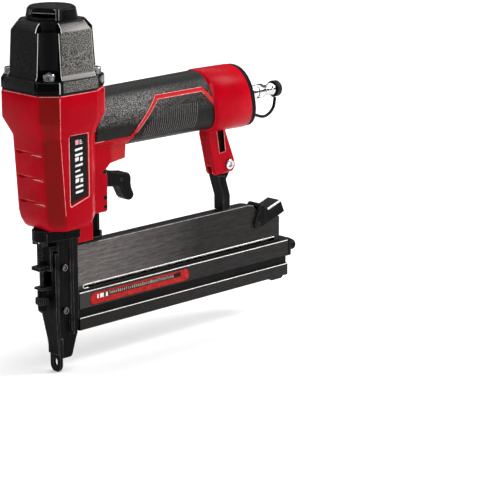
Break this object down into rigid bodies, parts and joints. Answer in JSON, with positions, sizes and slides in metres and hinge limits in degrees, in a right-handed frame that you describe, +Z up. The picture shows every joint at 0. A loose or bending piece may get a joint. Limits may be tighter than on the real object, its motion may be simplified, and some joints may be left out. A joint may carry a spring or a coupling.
{
  "type": "pneumatic nail gun",
  "caption": "Compressed-air brad nailer and stapler with rubber-gripped handle, cylinder housing, depth-adjustable safety nose, trigger and side-loading sliding magazine.",
  "frame": {"origin": "centre of the contact foot's lower end, where it meets the work", "axes": "+Z up the cylinder, +X back along the handle and the magazine, and the labelled side of the magazine faces -Y"},
  "size_m": [0.2565, 0.0574, 0.248],
  "materials": {
    "red_enamel": "die casting with a satin red enamel",
    "black_plastic": "fine moulded grain",
    "black_rubber": "grained soft grip",
    "blackened_steel": "black oxide, brushed",
    "black_anodised": "black anodised, brushed",
    "bright_steel": "bright",
    "plated_steel": "bright plated",
    "spring_steel": "drawn wire",
    "aluminium": "machined",
    "brass": "machined",
    "nitrile": "moulded",
    "black_inlay": "gloss",
    "red_label": "printed film",
    "bumper_urethane": "cast"
  },
  "bodies": {
    "frame": {"body_housing": "red_enamel", "grip_upper": "black_rubber", "grip_lower": "black_rubber", "cylinder_sleeve": "aluminium", "piston_bumper": "bumper_urethane", "cap_gasket": "nitrile", "cylinder_cap": "black_plastic", "cap_bolt_1": "blackened_steel", "cap_bolt_2": "blackened_steel", "cap_bolt_3": "blackened_steel", "cap_bolt_4": "blackened_steel", "deflector_screw": "blackened_steel", "head_valve_spring": "spring_steel", "end_gasket": "nitrile", "end_plate": "blackened_steel", "air_plug": "plated_steel", "dust_cap_ring": "black_rubber", "dust_cap_strap": "black_rubber", "side_label_left": "black_inlay", "side_label_right": "black_inlay", "trigger_pin": "blackened_steel", "guide_pin_upper": "blackened_steel", "guide_pin_lower": "blackened_steel", "trigger_valve_body": "brass", "valve_spring": "spring_steel", "nose_body": "blackened_steel", "nose_cover": "blackened_steel", "nose_bolt_upper": "bright_steel", "nose_bolt_lower": "bright_steel", "flange_bolt_left": "blackened_steel", "flange_bolt_right": "blackened_steel", "safety_spring": "spring_steel", "magazine_track": "black_anodised", "support_bracket": "blackened_steel", "bracket_bolt": "bright_steel", "bracket_nut": "bright_steel", "latch_pin_left": "bright_steel", "latch_pin_right": "bright_steel"},
    "driver": {"piston": "aluminium", "piston_ring": "nitrile", "driver_blade": "bright_steel"},
    "head_valve": {"head_valve": "black_plastic"},
    "deflector": {"exhaust_deflector": "black_plastic"},
    "trigger": {"trigger": "black_plastic"},
    "trip_lever": {"trip_lever": "blackened_steel"},
    "valve_stem": {"valve_stem": "bright_steel"},
    "safety": {"contact_foot": "blackened_steel", "safety_yoke": "blackened_steel", "depth_screw": "blackened_steel"},
    "depth_wheel": {"depth_wheel": "blackened_steel"},
    "slide": {"magazine_slide": "black_anodised", "slide_label": "red_label", "magazine_rail": "bright_steel", "slide_end_block": "black_plastic", "slide_knob": "black_plastic", "feed_rod": "bright_steel", "feed_spring": "spring_steel"},
    "pusher": {"pusher": "bright_steel"},
    "latch": {"latch_lever": "blackened_steel"},
    "dust_cap": {"dust_cap": "black_rubber"}
  },
  "joints": [
    {"name": "driver_stroke", "type": "slide", "parent": "frame", "child": "driver", "axis": [0, 0, -1], "range_m": [0, 0.075]},
    {"name": "head_valve_lift", "type": "slide", "parent": "frame", "child": "head_valve", "axis": [0, 0, 1], "range_m": [0, 0.004], "stiffness_N_per_m": 800, "springref_m": -0.004, "deforming": ["head_valve_spring"]},
    {"name": "deflector_turn", "type": "hinge", "parent": "frame", "child": "deflector", "pos_m": [0.0025, 0, 0.2397], "axis": [0, 0, 1], "continuous": true},
    {"name": "trigger_pull", "type": "hinge", "parent": "frame", "child": "trigger", "pos_m": [0.038, 0, 0.133], "axis": [0, -1, 0], "range_deg": [0, 12], "stiffness_Nm_per_rad": 0.4, "springref_deg": -5.73},
    {"name": "trip_lever_tilt", "type": "hinge", "parent": "trigger", "child": "trip_lever", "pos_m": [0.0575, 0, 0.124], "axis": [0, 1, 0], "range_deg": [0, 8]},
    {"name": "valve_stem_lift", "type": "slide", "parent": "frame", "child": "valve_stem", "axis": [0, 0, 1], "range_m": [0, 0.003], "deforming": ["valve_spring"]},
    {"name": "safety_lift", "type": "slide", "parent": "frame", "child": "safety", "axis": [0, 0, 1], "range_m": [0, 0.009], "stiffness_N_per_m": 400, "springref_m": -0.01, "deforming": ["safety_spring"]},
    {"name": "depth_wheel_turn", "type": "hinge", "parent": "safety", "child": "depth_wheel", "pos_m": [-0.0114, 0, 0.0518], "axis": [0, 0, 1], "continuous": true},
    {"name": "magazine_open", "type": "slide", "parent": "frame", "child": "slide", "axis": [1, 0, 0], "range_m": [0, 0.15]},
    {"name": "pusher_feed", "type": "slide", "parent": "slide", "child": "pusher", "axis": [1, 0, 0], "range_m": [0, 0.165], "stiffness_N_per_m": 20, "springref_m": -0.1, "deforming": ["feed_spring"]},
    {"name": "latch_lift", "type": "hinge", "parent": "frame", "child": "latch", "pos_m": [0.187, 0, 0.07], "axis": [0, -1, 0], "range_deg": [0, 14]},
    {"name": "dust_cap_pull", "type": "slide", "parent": "frame", "child": "dust_cap", "axis": [1, 0, 0], "range_m": [0, 0.016], "deforming": ["dust_cap_strap"]}
  ],
  "couplings": [
    {"joint": "valve_stem_lift", "follows": "trigger_pull", "m_per_rad": 0.013846}
  ]
}
